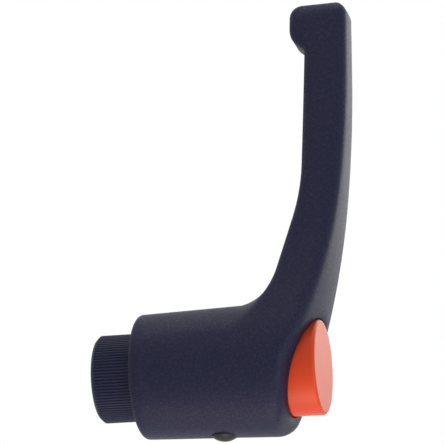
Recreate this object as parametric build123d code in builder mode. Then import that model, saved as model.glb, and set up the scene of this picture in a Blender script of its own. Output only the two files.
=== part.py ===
from build123d import *
from math import asin, cos, degrees, pi, radians, sin, tan
import os

os.makedirs("parts", exist_ok=True)

# Adjustable clamping lever with an M10 internal thread.  Millimetres.
# Origin: centre of the insert's clamping face.  +Z along the thread to the button,
# +X along the arm to its tip.

# ---------------------------------------------------------------- driving sizes
lever_reach = 78.25         # hub axis to the end of the arm
hub_base_z = 8.9            # lower edge of the hub above the clamping face
hub_base_r = 12.95          # hub at its lower edge
hub_draft = 1.71            # degrees, each side, hub and arm
crotch_z = 30.8             # where the crotch leaves the hub
hub_base_round = 1.1        # lower rim of the hub
button_face_z = 47.2        # outer face of the button

# sloping, crowned top of hub and arm
top_at_axis_z = 43.9        # height of the top on the hub axis
top_slope = 17.8            # degrees, over the hub
slope_end_x = 4.2           # the slope begins to ease here
ease_slope = 5.6            # degrees, where the second easing takes over
ease_r1 = 160.0
ease_r2 = 270.0
top_back_x = -9.6           # the back corner's rounding starts here
top_back_r = 6.8
crown_r = 57.0              # crown across the top
crown_half = 9.5            # crown gives way to the shoulders here
shoulder_r = 8.0
top_edge_round = 1.6

# arm
side_angle = 20.0           # degrees, sides of the arm where they leave the hub
side_lead_x = 23.1          # the sides' curve leaves the hub towards this point
side_pull = (35.4, 3.83)    # and comes in to the tip from this one
tip_half_width = 3.04       # at the level of the hub's lower edge, before the draft
tip_round = 1.8             # plan corners of the tip
tip_low_round = 2.8         # lower corner of the tip
tip_top_r = 2.8             # upper corner of the tip
tip_top_turn = 72.0         # degrees
lower_edge_round = 1.5
root_end_x = 31.0           # end of the straight rise behind the crotch
root_slope = 16.4           # degrees
crotch_r = 10.4
crotch_start_slope = 80.0   # degrees, where the crotch leaves the hub
bend_r = 45.0
run_slope = 1.4             # degrees, long run of the underside
nose_start_x = 67.3         # the run ends here
nose_drop = 3.2             # gripping nose below the end of the run
nose_slant = 50.0           # degrees
nose_hollow_r = 1.5
nose_swell_r = 4.1

# insert
barrel_r = 9.13             # over the ribs
barrel_top_z = 14.0
barrel_chamfer = 0.7
rib_count = 88
rib_depth = 0.26
rib_flat = 0.16             # width of a rib's crest
rib_valley = 0.08           # flat between two ribs
tooth_count = 24
tooth_height = 3.2
tooth_root_r = 7.9
tooth_root_half = 0.62
tooth_tip_half = 0.42
stem_r = 6.5
stem_top_z = 32.5
stem_chamfer = 0.5
thread_core_r = 4.25        # M10 core
thread_depth = 15.0
thread_mouth_r = 4.75       # countersunk mouth of the M10 thread
drill_point = 118.0         # degrees, included
screw_hole_r = 2.1          # M5 core
screw_hole_bottom_z = 21.0

# shoulder screw
screw_shoulder_r = 3.0
screw_thread_bottom_z = 21.5
screw_head_r = 4.25
screw_head_bottom_z = 42.0
screw_head_height = 2.5
screw_head_chamfer = 0.3
socket_across = 3.0
socket_depth = 1.3

# spring and washer
wire_r = 0.4
spring_turns = 3.5
spring_sides = 16           # straight runs to a turn
wire_sides = 8
spring_gap = 0.25           # spring over the screw's shoulder
washer_thickness = 0.5
washer_overhang = 0.8       # washer beyond the spring

# button
button_r = 9.8
button_edge_round = 0.7
button_plate = 2.2
button_wall = 1.5
button_bottom_z = 38.4
boss_r = 3.4
hook_height = 1.0
hook_reach = 0.7            # hook beyond the skirt
hook_half_width = 2.2
slit_width = 0.8
slit_top_z = 41.4

# stop pin
pin_z = 26.35
pin_r = 1.25
pin_head_r = 2.65
pin_head_land = 0.37        # cylindrical edge below the dome
pin_dome_height = 1.0

# travel and clearances
lift_travel = 3.5           # lever lifts this far to clear the teeth
lift_margin = 0.3
barrel_gap = 0.17
tooth_gap = 0.12
crest_gap = 0.2
stem_gap = 0.05
web_gap = 0.3               # stem top to web
web_thickness = 1.5
screw_gap = 0.2             # screw shoulder in web and washer
thread_gap = 0.02
button_gap = 0.35
hook_gap = 0.2
slot_foot = 0.4             # slot starts this far above the web
pin_gap = 0.2               # pin in the insert's groove
spot_gap = 0.1              # pin head in its spot face
spot_depth = 0.1            # spot face below the hub's surface at its sides

# ---------------------------------------------------------------- derived sizes
tooth_top_z = barrel_top_z + tooth_height
barrel_bore_r = barrel_r + barrel_gap
web_bottom_z = stem_top_z + web_gap
web_top_z = web_bottom_z + web_thickness
stem_bore_r = stem_r + stem_gap
button_bore_r = button_r + button_gap
spring_bottom_z = web_top_z + washer_thickness
spring_coil_r = screw_shoulder_r + spring_gap + wire_r
washer_r = spring_coil_r + wire_r + washer_overhang
groove_r = 4.9
groove_bottom_z = pin_z - pin_r - pin_gap
groove_top_z = pin_z + pin_r + lift_travel + lift_margin
pin_tip_r = groove_r + pin_gap
draft_rise = tan(radians(hub_draft))
crotch_hub_r = hub_base_r + (crotch_z - hub_base_z) * draft_rise
hub_r_at_pin = hub_base_r + (pin_z - hub_base_z) * draft_rise
spot_r = pin_head_r + spot_gap
spot_face_r = (hub_r_at_pin**2 - spot_r**2) ** 0.5 - spot_depth
screw_head_top_z = screw_head_bottom_z + screw_head_height
barrel_foot_r = barrel_r - rib_depth
rib_foot_half = pi * barrel_foot_r / rib_count - rib_valley / 2
ring_bore_r = tooth_root_r - 1      # ribs and teeth are rings round the turned blank
top_tool_half = 15.0
top_tool_height = 26.0
button_plate_z = button_face_z - button_plate


def heading(angle):
    """Unit direction at an angle in degrees."""
    return (cos(radians(angle)), sin(radians(angle)))


def shared_edges(first, second):
    """Edges that a face of one list shares with a face of the other."""
    others = [edge for face in second for edge in face.edges()]
    return ShapeList(
        edge for face in first for edge in face.edges() if any(edge.is_same(o) for o in others)
    )


def toothed_outline(count, root_r, root_half, tip_r, tip_half):
    """Corner points of straight-flanked teeth round the axis."""
    corners = ((root_r, -root_half), (tip_r, -tip_half), (tip_r, tip_half), (root_r, root_half))
    return [
        Vector(radius, half).rotate(Axis.Z, 360 * step / count)
        for step in range(count)
        for radius, half in corners
    ]


# ---------------------------------------------------------------- lever body
side_x = hub_base_r * sin(radians(side_angle))
side_y = hub_base_r * cos(radians(side_angle))
side_lead_y = side_y - (side_lead_x - side_x) * tan(radians(side_angle))
tool_margin = 2.467         # blank above the top, underside tool beyond the blank
tool_sector = 150.0
tool_low_z = hub_base_z - 1.0

with BuildPart() as lever_top_tool:
    # everything above the crowned, sloping top of hub and arm
    slope = radians(top_slope)
    back_z = top_at_axis_z + top_back_x * tan(slope)
    ease_z = top_at_axis_z + slope_end_x * tan(slope)
    with BuildLine(Plane.XZ) as top_path:
        back = JernArc((top_back_x, back_z), (-cos(slope), -sin(slope)), top_back_r, 90 - top_slope)
        ramp = Line((top_back_x, back_z), (slope_end_x, ease_z))
        ease = JernArc((slope_end_x, ease_z), heading(top_slope), ease_r1, ease_slope - top_slope)
        level = JernArc(((ease @ 1).X, (ease @ 1).Z), heading(ease_slope), ease_r2, -ease_slope)
        tip_corner_x = lever_reach - tip_top_r * sin(radians(tip_top_turn))
        flat_top = Line(((level @ 1).X, (level @ 1).Z), (tip_corner_x, (level @ 1).Z))
        tip_corner = JernArc((tip_corner_x, (level @ 1).Z), (1, 0), tip_top_r, -tip_top_turn)
        exit_x, exit_z = (tip_corner @ 1).X, (tip_corner @ 1).Z
        exit_way = heading(-tip_top_turn)
        path_exit = Line((exit_x, exit_z), (exit_x + 2 * exit_way[0], exit_z + 2 * exit_way[1]))
    blank_height = (level @ 1).Z + tool_margin - hub_base_z
    tool_top_z = hub_base_z + blank_height + tool_margin
    tool_out_x = lever_reach + tool_margin
    with BuildSketch(Plane(path_exit @ 1, x_dir=(0, 1, 0), z_dir=(-exit_way[0], 0, -exit_way[1]))):
        with BuildLine():
            crown_angle = asin(crown_half / crown_r)
            crown_drop = crown_r * (1 - cos(crown_angle))
            outer_angle = asin(sin(crown_angle) + (top_tool_half - crown_half) / shoulder_r)
            turn = degrees(outer_angle - crown_angle)
            ThreePointArc((-crown_half, crown_drop), (0, 0), (crown_half, crown_drop))
            right = JernArc(
                (crown_half, crown_drop), (cos(crown_angle), sin(crown_angle)), shoulder_r, turn
            )
            left = JernArc(
                (-crown_half, crown_drop), (-cos(crown_angle), sin(crown_angle)), shoulder_r, -turn
            )
            Polyline(
                right @ 1,
                (top_tool_half, -top_tool_height),
                (-top_tool_half, -top_tool_height),
                left @ 1,
            )
        make_face()
    sweep(path=top_path.wires()[0])

with BuildPart() as lever_body:
    # drafted plan of hub and arm
    with BuildSketch(Plane.XY.offset(hub_base_z)) as plan:
        with BuildLine():
            CenterArc((0, 0), hub_base_r, 90 - side_angle, 90 + side_angle)
            Bezier(
                (side_x, side_y),
                (side_lead_x, side_lead_y),
                side_pull,
                (lever_reach, tip_half_width),
            )
            Line((lever_reach, tip_half_width), (lever_reach, 0))
            Line((lever_reach, 0), (-hub_base_r, 0))
        make_face()
        fillet(plan.vertices().sort_by_distance((lever_reach, tip_half_width))[0], tip_round)
        mirror(about=Plane.XZ)
    extrude(amount=blank_height, taper=-hub_draft)

    # underside: crotch, rise, straight run and gripping nose
    with BuildSketch(Plane.XZ.rotated((0, 0, -tool_sector / 2))):
        with BuildLine():
            crotch = JernArc(
                (crotch_hub_r, crotch_z), heading(crotch_start_slope), crotch_r,
                root_slope - crotch_start_slope,
            )
            rise_x = root_end_x - (crotch @ 1).X
            rise_end = crotch @ 1 + Vector(rise_x, rise_x * tan(radians(root_slope)))
            rise = Line(crotch @ 1, rise_end)
            bend = JernArc(rise @ 1, heading(root_slope), bend_r, run_slope - root_slope)
            run_x = nose_start_x - (bend @ 1).X
            run_end = bend @ 1 + Vector(run_x, run_x * tan(radians(run_slope)))
            run = Line(bend @ 1, run_end)
            hollow = JernArc(run @ 1, heading(run_slope), nose_hollow_r, -nose_slant - run_slope)
            nose_z = (run @ 1).Y - nose_drop
            swell_drop = nose_swell_r * (1 - cos(radians(nose_slant)))
            slant_drop = (hollow @ 1).Y - nose_z - swell_drop
            slant_end = hollow @ 1 + Vector(slant_drop / tan(radians(nose_slant)), -slant_drop)
            slant = Line(hollow @ 1, slant_end)
            swell = JernArc(slant @ 1, heading(-nose_slant), nose_swell_r, nose_slant)
            nose = Line(swell @ 1, (lever_reach - tip_low_round, nose_z))
            corner = JernArc(nose @ 1, (1, 0), tip_low_round, 90)
            Polyline(
                corner @ 1,
                (lever_reach, tool_top_z),
                (tool_out_x, tool_top_z),
                (tool_out_x, tool_low_z),
                (hub_base_r - (hub_base_z - tool_low_z) * draft_rise, tool_low_z),
                (crotch_hub_r, crotch_z),
            )
        make_face()
    revolve(axis=Axis.Z, revolution_arc=tool_sector, mode=Mode.SUBTRACT)

    # rounded edges, from the hub's lower rim up: rim, underside and nose, then the top
    fillet(lever_body.faces().sort_by(Axis.Z)[0].edges(), hub_base_round)
    under_faces = lever_body.faces().filter_by(
        lambda f: f.normal_at(f.center()).Z < -0.12 and f.center().Z > crotch_z
    )
    side_faces = lever_body.faces().filter_by(
        lambda f: abs(f.normal_at(f.center()).Y) > 0.8 and abs(f.normal_at(f.center()).Z) < 0.12
    )
    fillet(shared_edges(under_faces, side_faces), lower_edge_round)
    add(lever_top_tool.part, mode=Mode.SUBTRACT)
    top_faces = lever_body.faces().filter_by(
        lambda f: f.normal_at(f.center()).Z > 0.25 and f.center().Z > crotch_z
    )
    wall_faces = lever_body.faces().filter_by(lambda f: abs(f.normal_at(f.center()).Z) < 0.12)
    fillet(shared_edges(top_faces, wall_faces), top_edge_round)

    # bore for the insert with the coupling's inner teeth, bore for its stem, web
    with BuildSketch(Plane.XY.offset(hub_base_z)):
        Circle(barrel_bore_r)
    extrude(amount=barrel_top_z - hub_base_z, mode=Mode.SUBTRACT)
    with BuildSketch(Plane.XY.offset(barrel_top_z)):
        with BuildLine():
            Polyline(
                *toothed_outline(
                    tooth_count,
                    tooth_root_r + crest_gap,
                    tooth_root_half + tooth_gap,
                    barrel_bore_r,
                    tooth_tip_half + tooth_gap,
                ),
                close=True,
            )
        make_face()
    extrude(amount=tooth_height, mode=Mode.SUBTRACT)
    with BuildSketch(Plane.XY.offset(tooth_top_z)):
        Circle(stem_bore_r)
    extrude(amount=web_bottom_z - tooth_top_z, mode=Mode.SUBTRACT)
    with BuildSketch(Plane.XY.offset(web_bottom_z)):
        Circle(screw_shoulder_r + screw_gap)
    extrude(amount=web_thickness, mode=Mode.SUBTRACT)

    # well for the button, slots for its hooks
    with BuildSketch(Plane.XY.offset(web_top_z)):
        Circle(button_bore_r)
    extrude(amount=blank_height, mode=Mode.SUBTRACT)
    with BuildSketch(Plane.XY.offset(web_top_z + slot_foot)):
        Rectangle(2 * (hook_half_width + hook_gap), 2 * (button_r + hook_reach + hook_gap))
    extrude(
        amount=button_bottom_z + hook_height + hook_gap - web_top_z - slot_foot, mode=Mode.SUBTRACT
    )

    # hole and spot face for the stop pin
    with BuildSketch(Plane.YZ.offset(-hub_r_at_pin - 1)):
        with Locations((0, pin_z)):
            Circle(spot_r)
    extrude(amount=hub_r_at_pin + 1 - spot_face_r, mode=Mode.SUBTRACT)
    with BuildSketch(Plane.YZ.offset(-hub_r_at_pin)):
        with Locations((0, pin_z)):
            Circle(pin_r)
    extrude(amount=hub_r_at_pin, mode=Mode.SUBTRACT)

# ---------------------------------------------------------------- insert
with BuildPart() as hub_insert:
    # turned blank: blind M10 and M5 bores with their drill points, stem with the pin's groove
    with BuildSketch(Plane.XZ):
        with BuildLine():
            Polyline(
                (0, thread_depth + thread_core_r / tan(radians(drill_point / 2))),
                (thread_core_r, thread_depth),
                (thread_core_r, thread_mouth_r - thread_core_r),
                (thread_mouth_r, 0),
                (barrel_r - barrel_chamfer, 0),
                (barrel_foot_r, barrel_chamfer - rib_depth),
                (barrel_foot_r, barrel_chamfer),
                (ring_bore_r, barrel_chamfer),
                (ring_bore_r, tooth_top_z),
                (stem_r, tooth_top_z),
                (stem_r, groove_bottom_z),
                (groove_r, groove_bottom_z),
                (groove_r, groove_top_z),
                (stem_r, groove_top_z),
                (stem_r, stem_top_z - stem_chamfer),
                (stem_r - stem_chamfer, stem_top_z),
                (screw_hole_r, stem_top_z),
                (screw_hole_r, screw_hole_bottom_z),
                (0, screw_hole_bottom_z - screw_hole_r / tan(radians(drill_point / 2))),
                close=True,
            )
        make_face()
    revolve(axis=Axis.Z)

    # coupling teeth
    with BuildSketch(Plane.XY.offset(barrel_top_z)):
        with BuildLine():
            Polyline(
                *toothed_outline(
                    tooth_count, tooth_root_r, tooth_root_half, barrel_foot_r, tooth_tip_half
                ),
                close=True,
            )
        make_face()
        Circle(ring_bore_r, mode=Mode.SUBTRACT)
    extrude(amount=tooth_height)

    # ribbed barrel
    with BuildSketch(Plane.XY.offset(barrel_chamfer)):
        with BuildLine():
            Polyline(
                *toothed_outline(rib_count, barrel_foot_r, rib_foot_half, barrel_r, rib_flat / 2),
                close=True,
            )
        make_face()
        Circle(ring_bore_r, mode=Mode.SUBTRACT)
    extrude(amount=barrel_top_z - barrel_chamfer)

# ---------------------------------------------------------------- shoulder screw
with BuildPart() as shoulder_screw:
    with BuildSketch(Plane.XY.offset(screw_thread_bottom_z)):
        Circle(screw_hole_r - thread_gap)
    extrude(amount=stem_top_z - screw_thread_bottom_z)
    with BuildSketch(Plane.XY.offset(stem_top_z)):
        Circle(screw_shoulder_r)
    extrude(amount=screw_head_bottom_z - stem_top_z)
    with BuildSketch(Plane.XY.offset(screw_head_bottom_z)):
        Circle(screw_head_r)
    extrude(amount=screw_head_height)
    chamfer(shoulder_screw.edges().filter_by(GeomType.CIRCLE).sort_by(Axis.Z)[-1], screw_head_chamfer)
    with BuildSketch(Plane.XY.offset(screw_head_top_z - socket_depth)):
        RegularPolygon(socket_across / 2, 6, major_radius=False)
    extrude(amount=socket_depth, mode=Mode.SUBTRACT)

# ---------------------------------------------------------------- spring and washer
spring_pitch = (screw_head_bottom_z - spring_bottom_z - 2 * wire_r) / spring_turns
coil_steps = round(spring_turns * spring_sides)
coil_points = [
    (
        spring_coil_r * cos(2 * pi * step / spring_sides),
        spring_coil_r * sin(2 * pi * step / spring_sides),
        spring_bottom_z + wire_r + spring_pitch * step / spring_sides,
    )
    for step in range(coil_steps + 1)
]
with BuildPart() as return_spring:
    with BuildLine() as coil:
        Polyline(*coil_points)
    first_run = coil.edges().sort_by_distance(coil_points[0])[0]
    with BuildSketch(Plane(coil_points[0], z_dir=first_run % 0)):
        RegularPolygon(wire_r, wire_sides)
    sweep(path=coil.wires()[0], transition=Transition.RIGHT)

with BuildPart() as spring_washer:
    with BuildSketch(Plane.XY.offset(web_top_z)):
        Circle(washer_r)
        Circle(screw_shoulder_r + screw_gap, mode=Mode.SUBTRACT)
    extrude(amount=washer_thickness)

# ---------------------------------------------------------------- push button
with BuildPart() as push_button:
    with BuildSketch(Plane.XY.offset(button_bottom_z)):
        Circle(button_r)
    extrude(amount=button_face_z - button_bottom_z)
    fillet(push_button.edges().sort_by(Axis.Z)[-1], button_edge_round)
    with BuildSketch(Plane.XY.offset(button_bottom_z)):
        Circle(button_r - button_wall)
    extrude(amount=button_plate_z - button_bottom_z, mode=Mode.SUBTRACT)
    with BuildSketch(Plane.XY.offset(screw_head_top_z)):
        Circle(boss_r)
    extrude(amount=button_plate_z - screw_head_top_z)

    # snap hooks between slits
    with BuildSketch(Plane.XY.offset(button_bottom_z)):
        with Locations(
            (hook_half_width + slit_width / 2, 0), (-hook_half_width - slit_width / 2, 0)
        ):
            Rectangle(slit_width, 2 * button_r + 2)
        Circle(button_r - 2 * button_wall, mode=Mode.SUBTRACT)
    extrude(amount=slit_top_z - button_bottom_z, mode=Mode.SUBTRACT)
    with BuildSketch(Plane.YZ):
        for side in (1, -1):
            with BuildLine():
                Polyline(
                    (side * (button_r - button_wall), button_bottom_z),
                    (side * button_r, button_bottom_z),
                    (side * (button_r + hook_reach), button_bottom_z + hook_height / 2),
                    (side * (button_r + hook_reach), button_bottom_z + hook_height),
                    (side * (button_r - button_wall), button_bottom_z + hook_height),
                    close=True,
                )
            make_face()
    extrude(amount=hook_half_width, both=True)

# ---------------------------------------------------------------- stop pin
pin_edge_r = spot_face_r + pin_head_land
dome_r = (pin_head_r**2 + pin_dome_height**2) / (2 * pin_dome_height)
dome_mid = dome_r - (dome_r**2 - (pin_head_r / 2) ** 2) ** 0.5
with BuildPart() as stop_pin:
    with BuildSketch(Plane.XY.offset(pin_z)):
        with BuildLine():
            Polyline(
                (-pin_edge_r - pin_dome_height, 0),
                (-pin_tip_r, 0),
                (-pin_tip_r, pin_r),
                (-spot_face_r, pin_r),
                (-spot_face_r, pin_head_r),
                (-pin_edge_r, pin_head_r),
            )
            ThreePointArc(
                (-pin_edge_r, pin_head_r),
                (-pin_edge_r - pin_dome_height + dome_mid, pin_head_r / 2),
                (-pin_edge_r - pin_dome_height, 0),
            )
        make_face()
    revolve(axis=Axis((0, 0, pin_z), (1, 0, 0)))

# ---------------------------------------------------------------- export
lever_body.part.label = "lever_body"
export_step(lever_body.part, "parts/lever_body.step")
hub_insert.part.label = "hub_insert"
export_step(hub_insert.part, "parts/hub_insert.step")
shoulder_screw.part.label = "shoulder_screw"
export_step(shoulder_screw.part, "parts/shoulder_screw.step")
return_spring.part.label = "return_spring"
export_step(return_spring.part, "parts/return_spring.step")
spring_washer.part.label = "spring_washer"
export_step(spring_washer.part, "parts/spring_washer.step")
push_button.part.label = "push_button"
export_step(push_button.part, "parts/push_button.step")
stop_pin.part.label = "stop_pin"
export_step(stop_pin.part, "parts/stop_pin.step")
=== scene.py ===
import logging
import math
from dataclasses import dataclass
from enum import Enum
from typing import Any, Protocol

import bmesh
import bpy
from mathutils import Matrix, Vector


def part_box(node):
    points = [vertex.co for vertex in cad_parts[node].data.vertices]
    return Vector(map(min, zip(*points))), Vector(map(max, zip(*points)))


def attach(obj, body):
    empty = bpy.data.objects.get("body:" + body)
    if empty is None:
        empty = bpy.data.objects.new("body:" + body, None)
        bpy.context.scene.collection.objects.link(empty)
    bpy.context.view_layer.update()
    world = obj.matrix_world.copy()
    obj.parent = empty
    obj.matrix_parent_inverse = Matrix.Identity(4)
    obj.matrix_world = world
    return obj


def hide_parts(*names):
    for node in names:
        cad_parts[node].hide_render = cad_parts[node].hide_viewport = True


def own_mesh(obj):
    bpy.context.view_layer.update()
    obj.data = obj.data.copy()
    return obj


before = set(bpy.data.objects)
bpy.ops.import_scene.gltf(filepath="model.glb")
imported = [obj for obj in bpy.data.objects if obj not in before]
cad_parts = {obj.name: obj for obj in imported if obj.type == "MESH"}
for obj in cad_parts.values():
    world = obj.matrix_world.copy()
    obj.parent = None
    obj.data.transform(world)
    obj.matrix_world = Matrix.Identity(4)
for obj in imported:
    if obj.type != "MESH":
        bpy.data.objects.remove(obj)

LOG = logging.getLogger("clamping_lever")
MM = 0.001

Colour = tuple[float, float, float]
Point = tuple[float, float, float]

WHITE: Colour = (1.0, 1.0, 1.0)
PLASTIC_IOR = 1.5
BEVEL_SAMPLES = 8
STEPS_PER_TURN = 48
MERGE_DISTANCE = 1e-7
# A Mix node names its colour sockets like those for numbers, so they are taken by index.
MIX_COLOUR_INPUTS = (6, 7)
MIX_COLOUR_OUTPUT = 2
WHITE_RAYS = ("Is Camera Ray", "Is Glossy Ray", "Is Transmission Ray")


class Slot(Enum):
    """Material slots of the record."""

    INSERT = "insert_steel"
    LEVER = "lever_plastic"
    PIN = "pin_steel"
    SCREW = "screw_steel"
    SPRING = "spring_steel"
    BUTTON = "button_plastic"


# ------------------------------------------------------------------ shader maths


@dataclass(frozen=True)
class Wire:
    """A socket whose Python operators add Math nodes.

    Args:
        tree: Node tree that the socket belongs to.
        socket: Output socket that carries the value.
    """

    tree: bpy.types.NodeTree
    socket: bpy.types.NodeSocket

    def _math(self, operation: str, first: "Wire | float", second: "Wire | float") -> "Wire":
        """Adds one Math node.

        Args:
            operation: Name of the Math node's operation.
            first: Number or wire on the first input.
            second: Number or wire on the second input.

        Returns:
            The node's output as a wire.
        """
        node = self.tree.nodes.new("ShaderNodeMath")
        node.operation = operation
        for index, value in enumerate((first, second)):
            if isinstance(value, Wire):
                self.tree.links.new(value.socket, node.inputs[index])
            else:
                node.inputs[index].default_value = value
        return Wire(self.tree, node.outputs[0])

    def __add__(self, other: "Wire | float") -> "Wire":
        """Sum of the two values."""
        return self._math("ADD", self, other)

    __radd__ = __add__

    def __sub__(self, other: "Wire | float") -> "Wire":
        """Difference of the two values."""
        return self._math("SUBTRACT", self, other)

    def __rsub__(self, other: "Wire | float") -> "Wire":
        """Difference with the number first."""
        return self._math("SUBTRACT", other, self)

    def __mul__(self, other: "Wire | float") -> "Wire":
        """Product of the two values."""
        return self._math("MULTIPLY", self, other)

    __rmul__ = __mul__

    def __truediv__(self, other: "Wire | float") -> "Wire":
        """Quotient of the two values."""
        return self._math("DIVIDE", self, other)

    def __rtruediv__(self, other: "Wire | float") -> "Wire":
        """Quotient with the number first."""
        return self._math("DIVIDE", other, self)

    def clamped(self) -> "Wire":
        """Holds the value between 0 and 1.

        Returns:
            The held value as a wire.
        """
        result = self._math("ADD", self, 0.0)
        result.socket.node.use_clamp = True
        return result


@dataclass(frozen=True)
class Pattern:
    """Noise that a finish lays over a piece.

    Args:
        scale: Repeats to the metre.
        octaves: Octaves of finer noise.
        rough: Strength of each finer octave.
    """

    scale: float
    octaves: float = 2.0
    rough: float = 0.6


class Shader:
    """The node tree of a material or world, with one method that adds any node.

    Args:
        owner: New material or world.
        output: Type of its output node.
    """

    def __init__(
        self, owner: bpy.types.Material | bpy.types.World, output: str = "ShaderNodeOutputMaterial"
    ) -> None:
        """Empties the tree and adds its output node."""
        owner.use_nodes = True
        self.owner = owner
        self.tree = owner.node_tree
        self.tree.nodes.clear()
        self.output = self.tree.nodes.new(output)

    def node(self, kind: str, settings: dict[str, Any] | None = None, **sockets: Any) -> bpy.types.Node:
        """Adds a node, sets it up and feeds its sockets.

        Args:
            kind: Blender's node type.
            settings: Properties of the node, which are set first.
            **sockets: Values, wires or sockets by input name, with _ for a space.

        Returns:
            The new node.
        """
        made = self.tree.nodes.new(kind)
        for key, value in (settings or {}).items():
            setattr(made, key, value)
        for key, value in sockets.items():
            self.feed(made.inputs[key.replace("_", " ")], value)
        return made

    def feed(self, target: bpy.types.NodeSocket, value: Any) -> None:
        """Sets or links one input.

        Args:
            target: Input socket.
            value: A number, colour, wire or output socket.
        """
        if isinstance(value, Wire):
            self.tree.links.new(value.socket, target)
        elif isinstance(value, bpy.types.NodeSocket):
            self.tree.links.new(value, target)
        elif target.type == "RGBA":
            target.default_value = (*value, 1.0)
        else:
            target.default_value = value

    def place(self) -> bpy.types.NodeSocket:
        """Object coordinates of the shaded point, in metres."""
        return self.node("ShaderNodeTexCoord").outputs["Object"]

    def noise(self, pattern: Pattern) -> Wire:
        """Noise over the object, from 0 to 1.

        Args:
            pattern: Scale and fineness of the noise.

        Returns:
            The noise value as a wire.
        """
        made = self.node(
            "ShaderNodeTexNoise",
            Vector=self.place(),
            Scale=pattern.scale,
            Detail=pattern.octaves,
            Roughness=pattern.rough,
        )
        return Wire(self.tree, made.outputs["Fac"])

    def white_rays(self) -> Wire:
        """Finds the rays to which the background is plain white.

        Returns:
            A wire that is 1 for those rays and 0 for the light on the object.
        """
        path = self.node("ShaderNodeLightPath")
        seen, mirrored, through = (Wire(self.tree, path.outputs[ray]) for ray in WHITE_RAYS)
        return (seen + mirrored + through).clamped()

    def blend(self, mask: Wire, low: Colour, high: Colour) -> bpy.types.NodeSocket:
        """Mixes two colours.

        Args:
            mask: 0 gives the first colour and 1 the second.
            low: First colour.
            high: Second colour.

        Returns:
            The mixed colour's socket.
        """
        made = self.node("ShaderNodeMix", {"data_type": "RGBA"})
        self.feed(made.inputs[0], mask)
        for index, colour in zip(MIX_COLOUR_INPUTS, (low, high)):
            self.feed(made.inputs[index], colour)
        return made.outputs[MIX_COLOUR_OUTPUT]

    def choose(self, mask: Wire, low: bpy.types.Node, high: bpy.types.Node) -> bpy.types.NodeSocket:
        """Mixes two surfaces.

        Args:
            mask: 0 gives the first surface and 1 the second.
            low: Node of the first surface.
            high: Node of the second surface.

        Returns:
            The mixed surface's socket.
        """
        made = self.node("ShaderNodeMixShader")
        for target, value in zip(made.inputs, (mask, low.outputs[0], high.outputs[0])):
            self.feed(target, value)
        return made.outputs[0]

    def bump(self, height: Wire, distance: float, soften: float = 0.0) -> bpy.types.NodeSocket:
        """Relief from a height value.

        Args:
            height: Height from 0 to 1.
            distance: Metres from the lowest to the highest point.
            soften: Radius in metres over which edges look rounded, or 0.

        Returns:
            The bent normal's socket.
        """
        made = self.node("ShaderNodeBump", Height=height, Distance=distance)
        if soften:
            rounded = self.node("ShaderNodeBevel", {"samples": BEVEL_SAMPLES}, Radius=soften)
            self.feed(made.inputs["Normal"], rounded.outputs["Normal"])
        return made.outputs["Normal"]

    def finish(self, surface: bpy.types.NodeSocket) -> bpy.types.Material | bpy.types.World:
        """Joins a surface to the output and hands back the material or world."""
        self.feed(self.output.inputs["Surface"], surface)
        return self.owner


# ------------------------------------------------------------------ finishes


class Finish(Protocol):
    """Anything that can make a material."""

    def material(self) -> bpy.types.Material:
        """Builds the node material."""


@dataclass(frozen=True)
class MouldedPlastic:
    """Black glass-filled plastic with the fine spark grain of its mould.

    Args:
        name: Name of the material.
        colour: Colour of the bulk.
        pale: Colour of the paler flow patches.
        flow: Wide patches left by the flow of the melt.
        fleck: Small patches of glass fibre near the skin.
        grain: Spark grain of the mould.
        flow_share: Share of the flow patches in the colour.
        fleck_share: Share of the flecks in the colour.
        tone_floor: Amount taken off the sum of both.
        roughness: Middle roughness.
        swing: Change of roughness over the flow, and again over the grain.
        gloss: Specular level.
        relief: Depth of the grain in metres.
        soften: Radius in metres over which the mould's edges run out.
        sparkle: Strength of the glossy film on the grain's high spots.
        sparkle_floor: Amount taken off that film, so that low spots stay matte.
        sparkle_roughness: Roughness of that film.
    """

    name: str = "moulded_black_plastic"
    colour: Colour = (0.0092, 0.0112, 0.0365)
    pale: Colour = (0.0142, 0.0142, 0.0400)
    flow: Pattern = Pattern(70.0, octaves=3.0)
    fleck: Pattern = Pattern(900.0, rough=0.5)
    grain: Pattern = Pattern(2400.0)
    flow_share: float = 0.7
    fleck_share: float = 0.5
    tone_floor: float = 0.1
    roughness: float = 0.52
    swing: float = 0.08
    gloss: float = 0.13
    relief: float = 0.00006
    soften: float = 0.0040
    sparkle: float = 0.80
    sparkle_floor: float = 0.36
    sparkle_roughness: float = 0.40

    def material(self) -> bpy.types.Material:
        """Builds the node material.

        Returns:
            The new material.
        """
        shader = Shader(bpy.data.materials.new(self.name))
        flow = shader.noise(self.flow)
        grain = shader.noise(self.grain)
        flecks = shader.noise(self.fleck) * self.fleck_share
        tone = (flow * self.flow_share + flecks - self.tone_floor).clamped()
        surface = shader.node(
            "ShaderNodeBsdfPrincipled",
            Base_Color=shader.blend(tone, self.colour, self.pale),
            Roughness=flow * self.swing + grain * self.swing + (self.roughness - self.swing),
            Coat_Weight=(grain * self.sparkle - self.sparkle_floor).clamped(),
            Coat_Roughness=self.sparkle_roughness,
            Normal=shader.bump(grain, self.relief, self.soften),
            IOR=PLASTIC_IOR,
            Specular_IOR_Level=self.gloss,
        )
        return shader.finish(surface.outputs[0])


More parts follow.
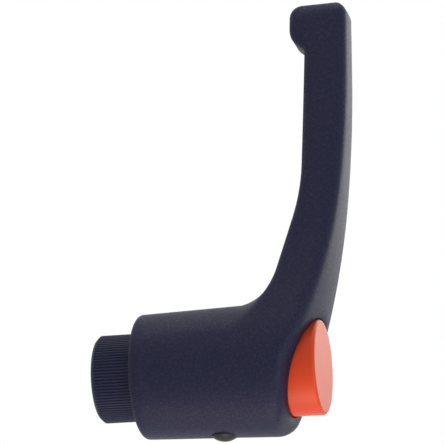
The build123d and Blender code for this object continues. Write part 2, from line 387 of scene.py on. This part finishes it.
@dataclass(frozen=True)
class ButtonPlastic:
    """Smooth orange button plastic with a faint matte skin.

    Args:
        name: Name of the material.
        colour: Colour of the bulk.
        deep: Colour of the slightly deeper patches.
        flow: Patches left by the flow of the melt.
        grain: Fine grain of the skin.
        roughness: Middle roughness.
        swing: Change of roughness over the grain.
        gloss: Specular level.
        relief: Depth of the grain in metres.
    """

    name: str = "button_orange_plastic"
    colour: Colour = (0.60, 0.050, 0.003)
    deep: Colour = (0.51, 0.036, 0.005)
    flow: Pattern = Pattern(160.0, rough=0.5)
    grain: Pattern = Pattern(3200.0)
    roughness: float = 0.43
    swing: float = 0.10
    gloss: float = 0.31
    relief: float = 0.000008

    def material(self) -> bpy.types.Material:
        """Builds the node material.

        Returns:
            The new material.
        """
        shader = Shader(bpy.data.materials.new(self.name))
        grain = shader.noise(self.grain)
        surface = shader.node(
            "ShaderNodeBsdfPrincipled",
            Base_Color=shader.blend(shader.noise(self.flow), self.colour, self.deep),
            Roughness=grain * self.swing + (self.roughness - self.swing / 2),
            Normal=shader.bump(grain, self.relief),
            IOR=PLASTIC_IOR,
            Specular_IOR_Level=self.gloss,
        )
        return shader.finish(surface.outputs[0])


@dataclass(frozen=True)
class Metal:
    """Turned or blackened steel with fine scatter in its sheen.

    Args:
        name: Name of the material.
        colour: Colour of the metal or of its oxide.
        worn: Colour where handling has polished it.
        metallic: Metallic share.
        roughness: Middle roughness.
        gloss: Specular level.
        cloud: Wide patches of wear.
        grain: Fine grain of the surface.
        cloud_swing: Change of roughness over the patches.
        grain_swing: Change of roughness over the grain.
        relief: Depth of the grain in metres.
    """

    name: str
    colour: Colour
    worn: Colour
    metallic: float
    roughness: float
    gloss: float
    cloud: Pattern = Pattern(240.0, octaves=3.0)
    grain: Pattern = Pattern(4200.0)
    cloud_swing: float = 0.12
    grain_swing: float = 0.08
    relief: float = 0.000006

    def material(self) -> bpy.types.Material:
        """Builds the node material.

        Returns:
            The new material.
        """
        shader = Shader(bpy.data.materials.new(self.name))
        cloud = shader.noise(self.cloud)
        grain = shader.noise(self.grain)
        lowest = self.roughness - (self.cloud_swing + self.grain_swing) / 2
        surface = shader.node(
            "ShaderNodeBsdfPrincipled",
            Base_Color=shader.blend(cloud, self.colour, self.worn),
            Metallic=self.metallic,
            Roughness=cloud * self.cloud_swing + grain * self.grain_swing + lowest,
            Normal=shader.bump(grain, self.relief),
            Specular_IOR_Level=self.gloss,
        )
        return shader.finish(surface.outputs[0])


@dataclass(frozen=True)
class WhiteFloor:
    """Pale floor that shows the object's shadow near it and turns plain white further out.

    Args:
        name: Name of the material.
        colour: Colour near the object.
        inner: Radius in metres up to which the floor is only lit.
        outer: Radius in metres from which it is plain white.
    """

    name: str = "white_floor"
    colour: Colour = (0.86, 0.86, 0.86)
    inner: float = 0.12
    outer: float = 0.30

    def material(self) -> bpy.types.Material:
        """Builds the node material.

        Returns:
            The new material.
        """
        shader = Shader(bpy.data.materials.new(self.name))
        length = shader.node("ShaderNodeVectorMath", {"operation": "LENGTH"}, Vector=shader.place())
        radius = Wire(shader.tree, length.outputs["Value"])
        far = ((radius - self.inner) / (self.outer - self.inner)).clamped()
        lit = shader.node("ShaderNodeBsdfDiffuse", Color=self.colour)
        plain = shader.node("ShaderNodeEmission", Color=WHITE, Strength=1.0)
        return shader.finish(shader.choose(far * shader.white_rays(), lit, plain))


# ------------------------------------------------------------------ pieces


def dress(node: str, finish: Finish) -> None:
    """Gives a CAD node its finish.

    Args:
        node: Name of the node.
        finish: Finish that the node gets.
    """
    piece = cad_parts[node]
    piece.data.materials.clear()
    piece.data.materials.append(finish.material())
    LOG.info("dressed %s", node)


def new_piece(
    name: str, mesh: bmesh.types.BMesh, finish: Finish, body: str
) -> bpy.types.Object:
    """Turns a bmesh into a piece that rides on a body.

    Args:
        name: Name of the piece.
        mesh: Finished bmesh, which is freed.
        finish: Finish that the piece gets.
        body: CAD body that carries the piece.

    Returns:
        The new object.
    """
    data = bpy.data.meshes.new(name)
    mesh.to_mesh(data)
    mesh.free()
    for polygon in data.polygons:
        polygon.use_smooth = True
    piece = bpy.data.objects.new(name, data)
    bpy.context.scene.collection.objects.link(piece)
    piece.data.materials.append(finish.material())
    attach(piece, body)
    LOG.info("built %s", name)
    return piece


def helix(profile: list[Vector], pitch: float, turns: float) -> bmesh.types.BMesh:
    """Winds a closed profile round the hub's axis as a right-hand helix.

    Args:
        profile: Corners of the profile in the XZ plane, in order.
        pitch: Rise of one turn in metres.
        turns: Number of turns.

    Returns:
        A closed bmesh.
    """
    mesh = bmesh.new()
    corners = [mesh.verts.new(corner) for corner in profile]
    start = mesh.faces.new(corners)
    count = round(turns * STEPS_PER_TURN)
    bmesh.ops.spin(
        mesh,
        geom=[start],
        cent=(0.0, 0.0, 0.0),
        axis=(0.0, 0.0, 1.0),
        dvec=(0.0, 0.0, pitch / STEPS_PER_TURN),
        angle=math.tau * count / STEPS_PER_TURN,
        steps=count,
        use_duplicate=False,
    )
    bmesh.ops.remove_doubles(mesh, verts=mesh.verts, dist=MERGE_DISTANCE)
    bmesh.ops.recalc_face_normals(mesh, faces=mesh.faces)
    return mesh


@dataclass
class Insert:
    """Ribbed steel insert with its internal thread.

    Args:
        pitch: Pitch of the thread.
        core: Radius of the plain bore.
        crest: Radius of the ridge's inner land.
        first: Height of the first ridge above the insert's lower face.
        sink: Depth to which the ridge stands in the wall.
        root_share: Half the ridge's width at the wall, as a share of the pitch.
        land_share: Half the ridge's width at its land, as a share of the pitch.
        turns: Turns of the thread.
        steel: Finish of the insert and its thread.
    """

    pitch: float = 1.5 * MM
    core: float = 4.25 * MM
    crest: float = 4.0 * MM
    first: float = 1.0 * MM
    sink: float = 0.05 * MM
    root_share: float = 0.42
    land_share: float = 0.08
    turns: float = 9.0
    steel: Metal = Metal(
        name="blackened_steel",
        colour=(0.0118, 0.0145, 0.0430),
        worn=(0.0155, 0.0180, 0.0500),
        metallic=0.0,
        roughness=0.50,
        gloss=0.22,
    )

    def thread(self) -> bmesh.types.BMesh:
        """Winds the thread's ridge along the wall of the bore.

        Returns:
            A closed bmesh.
        """
        low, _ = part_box("hub_insert")
        root, land = self.root_share * self.pitch, self.land_share * self.pitch
        middle = low[2] + self.first
        wall = self.core + self.sink
        profile = [
            Vector((wall, 0.0, middle - root)),
            Vector((self.crest, 0.0, middle - land)),
            Vector((self.crest, 0.0, middle + land)),
            Vector((wall, 0.0, middle + root)),
        ]
        return helix(profile, self.pitch, self.turns)

    def build(self) -> None:
        """Dresses the insert and winds its thread."""
        dress("hub_insert", self.steel)
        new_piece("insert_thread", self.thread(), self.steel, "boss")


@dataclass
class Lever:
    """Moulded lever with its stop pin and the washer under the spring.

    Args:
        plastic: Finish of the lever body.
        pin: Finish of the stop pin.
        washer: Finish of the washer.
    """

    plastic: MouldedPlastic = MouldedPlastic()
    pin: Metal = Metal(
        name="pin_steel",
        colour=(0.006, 0.009, 0.010),
        worn=(0.012, 0.016, 0.017),
        metallic=0.0,
        roughness=0.46,
        gloss=0.20,
    )
    washer: Metal = Metal(
        name="bright_steel",
        colour=(0.50, 0.50, 0.52),
        worn=(0.60, 0.60, 0.62),
        metallic=1.0,
        roughness=0.30,
        gloss=0.5,
    )

    def build(self) -> None:
        """Dresses the lever body, the pin and the washer."""
        dress("lever_body", self.plastic)
        dress("stop_pin", self.pin)
        dress("spring_washer", self.washer)


@dataclass
class Mechanism:
    """Screw, spring and button on the hub's axis.

    Args:
        screw: Finish of the shoulder screw.
        spring: Finish of the spring.
        button: Finish of the push button.
        wire: Radius of the spring's wire.
        wire_sides: Sides of the wire's section.
        turns: Turns of the spring.
        lift: Height through which the lever lifts; not used.
    """

    screw: Metal = Metal(
        name="screw_steel",
        colour=(0.46, 0.46, 0.48),
        worn=(0.58, 0.58, 0.60),
        metallic=1.0,
        roughness=0.32,
        gloss=0.5,
    )
    spring: Metal = Metal(
        name="spring_wire",
        colour=(0.42, 0.42, 0.45),
        worn=(0.55, 0.55, 0.57),
        metallic=1.0,
        roughness=0.28,
        gloss=0.5,
    )
    button: ButtonPlastic = ButtonPlastic()
    wire: float = 0.4 * MM
    wire_sides: int = 16
    turns: float = 3.5
    lift: float = 3.5 * MM

    def coil(self) -> bmesh.types.BMesh:
        """Winds the spring between the washer and the screw's head.

        Returns:
            A closed bmesh.
        """
        low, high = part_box("return_spring")
        radius = (high[0] - low[0]) / 2 - self.wire
        pitch = (high[2] - low[2] - 2 * self.wire) / self.turns
        upright = Matrix.Rotation(math.pi / 2, 3, "X")
        mesh = bmesh.new()
        ring = bmesh.ops.create_circle(
            mesh, cap_ends=False, segments=self.wire_sides, radius=self.wire
        )["verts"]
        bmesh.ops.rotate(mesh, verts=ring, cent=(0.0, 0.0, 0.0), matrix=upright)
        bmesh.ops.translate(mesh, verts=ring, vec=(radius, 0.0, low[2] + self.wire))
        profile = [vert.co.copy() for vert in ring]
        mesh.free()
        return helix(profile, pitch, self.turns)

    def build(self) -> None:
        """Dresses the screw and the button and winds the spring."""
        dress("shoulder_screw", self.screw)
        dress("push_button", self.button)
        spring = new_piece("spring_coil", self.coil(), self.spring, "boss")
        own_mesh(spring)
        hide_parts("return_spring")


# ------------------------------------------------------------------ stage


@dataclass(frozen=True)
class Lamp:
    """One soft square lamp.

    Args:
        name: Name of the lamp.
        place: Where it stands.
        size: Edge length in metres.
        power: Power in watts.
        tint: Colour of its light.
    """

    name: str
    place: Point
    size: float
    power: float
    tint: Colour


@dataclass
class Studio:
    """Camera, floor and soft lamps around the object, in metres and degrees.

    Args:
        eye: Where the camera stands.
        tilt: Angle at which it looks down.
        turn: Turn of its line of sight round the upright.
        roll: Roll round its line of sight, from lying on its side.
        lens: Focal length in millimetres.
        sensor: Width of its sensor in millimetres.
        near: Distance at which its view starts.
        floor_depth: Depth of the floor below the object.
        floor_size: Edge length of the floor.
        ground: Finish of the floor.
        ambient: Strength of the light from all round.
        ambient_tint: Colour of the light from all round.
        target: Point that the lamps face.
        lamps: The lamps.
    """

    eye: Point = (-0.1465, 0.5854, 0.1661)
    tilt: float = 12.91
    turn: float = -17.0
    roll: float = 3.97
    lens: float = 243.24
    sensor: float = 36.0
    near: float = 0.01
    floor_depth: float = 0.12
    floor_size: float = 6.0
    ground: WhiteFloor = WhiteFloor()
    ambient: float = 0.50
    ambient_tint: Colour = (0.96, 0.98, 0.97)
    target: Point = (0.03, 0.0, 0.03)
    lamps: tuple[Lamp, ...] = (
        Lamp("key", (-0.25, 0.35, 0.70), 0.6, 2.2, (1.0, 0.98, 0.88)),
        Lamp("side", (-0.75, 0.05, 0.05), 0.5, 4.8, (1.0, 0.79, 0.66)),
        Lamp("end", (0.75, 0.10, 0.05), 0.5, 3.0, (1.0, 0.86, 0.86)),
        Lamp("back", (0.45, -0.60, 0.40), 0.7, 3.0, (1.0, 1.0, 0.90)),
    )

    def camera(self) -> None:
        """Adds the camera at the viewing angle."""
        tilt, turn, roll = (math.radians(a) for a in (self.tilt, self.turn, self.roll))
        spin = Matrix(
            (
                (math.cos(turn), math.sin(turn), 0.0),
                (-math.sin(turn), math.cos(turn), 0.0),
                (0.0, 0.0, 1.0),
            )
        )
        back = Vector((0.0, math.cos(tilt), math.sin(tilt)))
        level = Vector((0.0, -math.sin(tilt), math.cos(tilt)))
        upright = Vector((1.0, 0.0, 0.0))
        right = level * math.cos(roll) - upright * math.sin(roll)
        up = upright * math.cos(roll) + level * math.sin(roll)
        columns = [spin @ v for v in (right, up, back)]
        data = bpy.data.cameras.new("camera")
        data.lens = self.lens
        data.sensor_width = self.sensor
        data.clip_start = self.near
        camera = bpy.data.objects.new("camera", data)
        camera.matrix_world = Matrix.Translation(self.eye) @ Matrix(columns).transposed().to_4x4()
        bpy.context.scene.collection.objects.link(camera)
        bpy.context.scene.camera = camera

    def floor(self) -> None:
        """Adds the floor below the object."""
        mesh = bmesh.new()
        bmesh.ops.create_grid(mesh, x_segments=1, y_segments=1, size=self.floor_size / 2)
        data = bpy.data.meshes.new("floor")
        mesh.to_mesh(data)
        mesh.free()
        floor = bpy.data.objects.new("floor", data)
        floor.location = (0.0, 0.0, -self.floor_depth)
        bpy.context.scene.collection.objects.link(floor)
        data.materials.append(self.ground.material())

    def hang(self, lamp: Lamp) -> None:
        """Adds one lamp, which faces the target.

        Args:
            lamp: Place, size and light of the lamp.
        """
        data = bpy.data.lights.new(lamp.name, "AREA")
        data.shape = "SQUARE"
        data.size = lamp.size
        data.energy = lamp.power
        data.color = lamp.tint
        light = bpy.data.objects.new(lamp.name, data)
        light.location = lamp.place
        aim = Vector(self.target) - Vector(lamp.place)
        light.rotation_euler = aim.to_track_quat("-Z", "Y").to_euler()
        bpy.context.scene.collection.objects.link(light)

    def world(self) -> None:
        """Lights the scene softly from all round and shows plain white behind it."""
        shader = Shader(bpy.data.worlds.new("studio"), "ShaderNodeOutputWorld")
        soft = shader.node("ShaderNodeBackground", Color=self.ambient_tint, Strength=self.ambient)
        plain = shader.node("ShaderNodeBackground", Color=WHITE, Strength=1.0)
        bpy.context.scene.world = shader.finish(shader.choose(shader.white_rays(), soft, plain))

    def build(self) -> None:
        """Sets up the whole stage."""
        bpy.context.scene.view_settings.view_transform = "Standard"
        self.camera()
        self.floor()
        for lamp in self.lamps:
            self.hang(lamp)
        self.world()


def main() -> None:
    """Builds every piece and the stage."""
    logging.basicConfig(level=logging.INFO, format="%(name)s: %(message)s")
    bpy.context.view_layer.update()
    for part in (Insert(), Lever(), Mechanism(), Studio()):
        part.build()
        LOG.info("finished %s", type(part).__name__)


if __name__ == "__main__":
    main()
